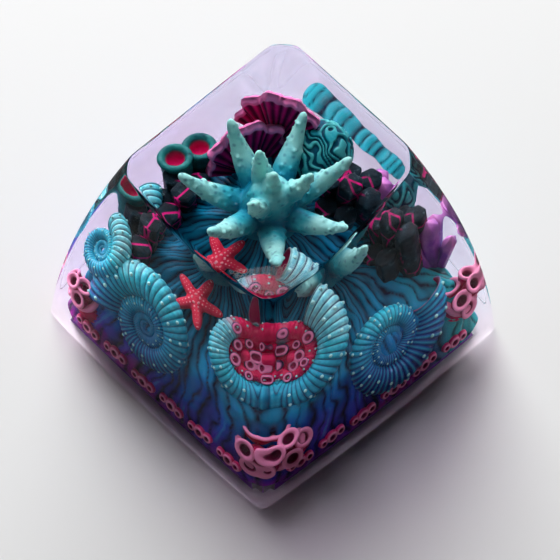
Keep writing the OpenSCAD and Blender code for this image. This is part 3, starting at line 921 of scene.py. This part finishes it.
def reef_rock(material):
    """The CAD's rock: leaning folds, here with finer ridges on them, round a pocket for the stem base."""
    rise = ROCK_TOP - ROCK_Z
    levels = ((ROCK_Z, ROCK_HALF, 0.2, 0.0), (ROCK_Z + 0.18 * rise, ROCK_HALF - 0.25, 1.0, 0.8),
              (STEM_ROOF_Z + 0.45, STEM_BASE_TOP_HALF + ROCK_COVER, 0.8, 1.6),
              (ROCK_Z + 0.76 * rise, 0.66 * ROCK_HALF, 2.0, 2.4),
              (ROCK_Z + 0.92 * rise, 0.36 * ROCK_HALF, 1.0, 3.2))
    i = np.arange(2 * ROCK_FOLDS + 1)
    corners = []
    for z, wide, fold, lean in levels:
        az = (i + lean) * math.pi / ROCK_FOLDS
        depth = fold * ROCK_FOLD * (i % 2 + 0.3 * (1 + np.cos(3 * az + math.radians(40 * z))))
        r = square_reach(wide, az, 20) - depth
        corners.append(np.stack([r * np.cos(az), r * np.sin(az), np.full(len(i), z)], 1))
    corners = np.array(corners + [np.repeat([[0, 0, ROCK_TOP]], len(i), 0)])

    # rings between the CAD's, softened, then cut by the finer ridges
    cols, rows = 440, (26, 30, 26, 20, 14)
    turn = np.arange(cols) * 2 * ROCK_FOLDS / cols
    whole = turn.astype(int)
    part = (turn - whole)[None, :, None]
    rings = corners[:, whole] * (1 - part) + corners[:, whole + 1] * part
    level = np.concatenate([np.linspace(k, k + 1, n, endpoint=False) for k, n in enumerate(rows)])
    base = level.astype(int)
    share = (level - base)[:, None, None]
    p = softened(rings[base] * (1 - share) + rings[base + 1] * share, 3, 2)
    az = np.arctan2(p[..., 1], p[..., 0])
    crest = abs(((turn[None] + np.zeros((len(p), 1))) % 2) - 1)
    slow = fractal(p.reshape(-1, 3), 0.4, 3, 2.0).reshape(az.shape)
    ridge = abs(np.sin(az * 33 + 2.6 * slow + 0.9 * np.sin(p[..., 2] * 1.3))) ** 0.6
    depth = 0.15 * (1 - ridge) * np.clip((p[..., 2] - ROCK_Z) / 0.5, 0, 1)
    outward = np.stack([np.cos(az), np.sin(az), np.zeros_like(az)], -1)
    p = p - outward * np.minimum(depth, 0.9 * np.linalg.norm(p[..., :2], axis=-1))[..., None]

    flat = np.arange(cols) * 2 * math.pi / cols

    def pocket(half, height):
        q = (half + POCKET_GAP) / np.maximum(abs(np.cos(flat)), abs(np.sin(flat)))
        return np.stack([q * np.cos(flat), q * np.sin(flat), np.full(cols, height)], 1)

    slope = (STEM_BASE_HALF - STEM_BASE_TOP_HALF) / STEM_ROOF_Z
    roof = STEM_ROOF_Z + POCKET_GAP
    rings = [pocket(0.1, roof), pocket(STEM_BASE_TOP_HALF, roof),
             pocket(STEM_BASE_HALF - slope * ROCK_Z, ROCK_Z)]
    # ridge is low between the finer ridges and in the folds' valleys, where the rock's paint gets its
    # painted shade
    values = np.concatenate([np.zeros(len(rings) * cols), (ridge * (0.4 + 0.6 * crest)).reshape(-1),
                             [0, 1]])
    rings += list(p)
    verts = np.vstack(rings + [[[0, 0, roof]], [[0, 0, ROCK_TOP]]])
    obj = make_object("rock", verts, tube_faces(len(rings), cols), {"ridge": values})
    finish_piece(obj, material, "reef_rock")


def hexagon_reach(az):
    """Distance from the middle to a hexagon whose corners are 1 away."""
    local = (az + SIXTH) % (2 * SIXTH) - SIXTH
    return math.cos(SIXTH) / np.cos(local)


def column(x, y, top, turn):
    """A six-sided column of drums, its edges and its top worn."""
    cols, rows = 48, 40
    hexagon = BASALT_W / 2 * np.minimum(hexagon_reach(np.arange(cols) * 2 * math.pi / cols), 0.95)
    z = np.linspace(ROCK_Z + 2, top - 0.12, rows)
    drum = z * 0.9 + x * 3 + y * 5
    joint = np.clip(abs(drum % 1 - 0.5) * 14, 0, 1)
    share = (0.95 + 0.04 * np.sin(np.floor(drum) * 12.3)) * (0.93 + 0.07 * joint)
    z = np.concatenate([z, [top - 0.05, top, top]])
    share = np.concatenate([share, [0.93, 0.85, 0.3]])
    n = len(z)
    centres = np.stack([np.full(n, x), np.full(n, y), z], 1)
    v, f, _ = sweep(centres, [[1, 0, 0]] * n, [[0, 1, 0]] * n, share[:, None] * hexagon[None], cols)
    c = np.array([x, y, 0])
    return moved((v - c, f, {}), rotation(0, 0, turn + 30), c)


def basalt_columns(material):
    """Two groups, each a column with others round it."""
    parts = []
    for place, heights, turn in (((2.45, 4.35), (1, 0.93, 0.86, 0.9, 0.8, 0.84, 0.95), 12),
                                 ((-4.3, -2.8), (0.9, 0.8, 0.86, 0.76, 0.83), 40)):
        for i, h in enumerate(heights):
            az = math.radians(turn + i * 60)
            r = 0.85 * BASALT_W if i else 0
            parts.append(column(place[0] + r * math.cos(az), place[1] + r * math.sin(az),
                                BASALT_H * h, turn))
    v, f, values = join(parts)
    finish_piece(make_object("columns", v, f, values), material, "basalt_columns")


def crystal(p, az, rise, length, radii):
    """A six-sided crystal with a pointed tip."""
    points, side, across, end = limb_path(p, az, rise, 0, length, 6)
    r = smooth_radii(radii, 6)
    cols = 36
    facet = np.minimum(hexagon_reach(np.arange(cols) * 2 * math.pi / cols), 0.975)
    points = np.vstack([points, [points[-1] + CRYSTAL_TIP * share * end for share in (0.55, 0.97)]])
    r = np.concatenate([r, [r[-1] * 0.5, r[-1] * 0.05]])
    n = len(r)
    side, across = (np.vstack([a, np.repeat(a[-1:], 2, 0)]) for a in (side, across))
    reach = np.repeat(np.linspace(0, 1, n)[:, None], cols, 1)
    return sweep(points, side, across, r[:, None] * facet[None], cols, None, {"reach": reach})


def crystals(material):
    """A group of four crystals and one of three smaller ones."""
    parts = []
    for i in range(4):
        size = 1 - 0.1 * i
        parts.append(crystal([3.55, 6.25, ROCK_Z + 3.4], i * GOLDEN_ANGLE, 90 - 26 * math.sqrt(i / 3),
                             CRYSTAL_L * size, [0.6 * size, 0.75 * size]))
    for i in range(3):
        parts.append(crystal([-6.2, 5.8, ROCK_Z + 2.6], i * 110 + 20, 88 - 20 * i / 3,
                             0.8 * CRYSTAL_L * (1 - 0.12 * i), [0.525, 0.675]))
    v, f, values = join(parts)
    finish_piece(make_object("crystals_detail", v, f, values), material, "crystals")


def starfish(material):
    """Five rounded arms with a row of bumps along each."""
    arms, reach, thick = 5, STAR_R, STAR_T
    cols, rows = 100, 14
    a = np.arange(cols) * 2 * math.pi / cols
    lobe = (0.5 + 0.5 * np.cos(arms * a)) ** 1.6
    outline = reach * (0.40 + 0.58 * lobe)
    verts = []
    for k in range(rows):
        u = math.pi * k / (rows - 1)
        r = outline * max(math.sin(u), 0.02) ** 0.8
        z = -thick / 2 * math.cos(u) * (0.55 + 0.45 * (1 - r / reach))
        verts.append(np.stack([r * np.cos(a), r * np.sin(a), z], 1))
    v = np.vstack(verts + [[[0, 0, -thick / 2]], [[0, 0, thick / 2]]])
    parts = [(v, tube_faces(rows, cols), {})]
    for i in range(arms):
        c, s = math.cos(i * 2 * math.pi / arms), math.sin(i * 2 * math.pi / arms)
        for k in range(7):
            q = 0.25 + 0.24 * k
            z = thick / 2 * (0.9 - 0.38 * q)
            for off in (-0.16, 0.16):
                off *= 1 - q / 2.2
                parts.append(ball((q * c - off * s, q * s + off * c, z), 0.085 - 0.007 * k))
    v, f, values = moved(join(parts), rotation(28, -4, 0) @ rotation(0, 0, 12), [0.35, -3.95, 7.9])
    finish_piece(make_object("star", v, f, values), material, "starfish")


def barnacles(material):
    """Threes of cups along the foot of the rock's front and right sides."""
    count = int((2 * BASE_HALF - 6) / BARNACLE_PITCH)
    parts = []
    for i in range(count + 1):
        along = (i - count / 2) * BARNACLE_PITCH
        for shift, size in ((-0.62, 0.72), (0.0, 1.0), (0.62, 0.8)):
            z = ROCK_Z + 0.78 + 0.12 * math.sin(i * 2.3 + shift * 9)
            r = 0.31 * BARNACLE_D * size
            parts.append(cup([along + shift, -ROCK_HALF + 0.12, z], [0, -1, 0.1], r, 0.36))
            parts.append(cup([ROCK_HALF - 0.12, along + shift, z], [1, 0, 0.1], r, 0.36))
    v, f, values = join(parts)
    finish_piece(make_object("barnacle_rows", v, f, values), material, "barnacles")


# Floor, lamps and camera


def lamp(name, azimuth, elevation, distance, size, power, mirrored=True):
    """A round softbox aimed at the origin, in metres; mirrored False keeps its image out of the resin."""
    data = bpy.data.lights.new(name, "AREA")
    data.shape, data.size, data.energy = "DISK", size, power
    obj = bpy.data.objects.new(name, data)
    obj.visible_glossy = mirrored
    a, e = math.radians(azimuth), math.radians(elevation)
    spot = Vector((math.cos(a) * math.cos(e), math.sin(a) * math.cos(e), math.sin(e))) * distance
    obj.location = spot
    obj.rotation_euler = (-spot).to_track_quat("-Z", "Y").to_euler()
    bpy.context.scene.collection.objects.link(obj)


def studio():
    """A plain pale floor, a world that is brighter near the horizon, and two lamps from behind."""
    half, z = FLOOR_HALF, FLOOR_LIFT
    floor = make_object("floor", [(-half, -half, z), (half, -half, z), (half, half, z), (-half, half, z)],
                        [(0, 1, 2, 3)])
    floor.data.materials.append(
        Nodes("floor", Roughness=0.9, Specular_IOR_Level=0.1, Base_Color=srgb(236, 236, 236)).material)

    world = bpy.data.worlds.new("world")
    bpy.context.scene.world = world
    world.use_nodes = True
    nodes, links = world.node_tree.nodes, world.node_tree.links
    background = nodes["Background"]
    height = nodes.new("ShaderNodeSeparateXYZ")
    links.new(nodes.new("ShaderNodeTexCoord").outputs["Generated"], height.inputs[0])
    fade = nodes.new("ShaderNodeMapRange")
    for key, value in (("From Min", 0.1), ("From Max", 0.8), ("To Min", SKY_LOW), ("To Max", SKY_HIGH)):
        fade.inputs[key].default_value = value
    links.new(height.outputs["Z"], fade.inputs["Value"])
    links.new(fade.outputs["Result"], background.inputs["Strength"])

    lamp("key", 145, 21, 0.30, 0.26, 1.2)
    lamp("top", 152, 52, 0.30, 0.14, 0.65, mirrored=False)


def camera():
    """The camera, with the picture's middle on the target moved by the aim's two distances."""
    e, a = math.radians(CAM_ELEVATION), math.radians(CAM_AZIMUTH)
    right = Vector((math.sin(a), math.cos(a), 0))
    away = Vector((-math.cos(a), math.sin(a), 0))
    look = away * math.cos(e) + Vector((0, 0, -math.sin(e)))
    up = away * math.sin(e) + Vector((0, 0, math.cos(e)))
    aim = Vector(CAM_TARGET) + CAM_AIM_RIGHT * right + CAM_AIM_UP * up
    data = bpy.data.cameras.new("camera")
    data.lens, data.sensor_width = CAM_LENS, 36.0
    data.clip_start, data.clip_end = 0.05, 10
    obj = bpy.data.objects.new("camera", data)
    bpy.context.scene.collection.objects.link(obj)
    obj.matrix_world = Matrix((
        (right.x, up.x, -look.x, (aim.x - look.x * CAM_DISTANCE) * MM),
        (right.y, up.y, -look.y, (aim.y - look.y * CAM_DISTANCE) * MM),
        (right.z, up.z, -look.z, (aim.z - look.z * CAM_DISTANCE) * MM),
        (0, 0, 0, 1)))
    bpy.context.scene.camera = obj


def build():
    """The camera, the studio, and each piece with its material."""
    camera()
    studio()
    bpy.context.scene.view_settings.view_transform = "Standard"
    teal = shell_material()
    # the last colour of each is the darker throat, painted shade inside the mouths
    pink = pink_material("pink_paint", srgb(150, 0, 66), srgb(222, 14, 100), srgb(246, 150, 188),
                         srgb(92, 0, 46))
    rose = pink_material("rose_paint", srgb(196, 8, 92), srgb(236, 44, 122), srgb(248, 150, 190),
                         srgb(110, 6, 60))

    resin_cap(resin_material())
    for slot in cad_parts["stem_base"].material_slots:
        slot.material = stem_material()
    reef_rock(rock_material())
    basalt_columns(basalt_material())
    shell("spiral_front", "front_shell", teal, [-1.8, -6.75, 5.1], (68, 0, -3), 200, 4.7, 44)
    shell("spiral_right", "right_shell", teal, [6.6, 1.6, 4.7], (69, 0, 93), 20, 4.6, 44)
    shell("spiral_left", "left_shell", teal, [-6.2, -5.5, 6.7], (52, 0, -48), 120, 2.9, 36)
    shell("spiral_middle", "middle_shell", teal, [4.3, -4.15, 7.3], (46, 0, 48), 70, 4.4, 44, cups=9)
    crown_coral(crown_material())
    brain_coral(brain_material())
    fan_corals(fan_material())
    sponge_tubes(sponge_material())
    anemone("tubes_front", "front_anemone", pink, [6.15, -5.65, 2.0], -43, 54, 7, 0.7 * TUBE_L, TUBE_D,
            42)
    anemone("tubes_left", "left_anemone", pink, [-6.0, -6.4, 2.15], -138, 42, 6, 0.6 * TUBE_L,
            0.9 * TUBE_D, 34)
    anemone("tubes_right", "right_anemone", pink, [5.9, 6.25, 2.7], 42, 43, 6, 0.7 * TUBE_L, TUBE_D,
            36)
    crystals(crystal_material())
    starfish(star_material())
    barnacles(rose)


build()
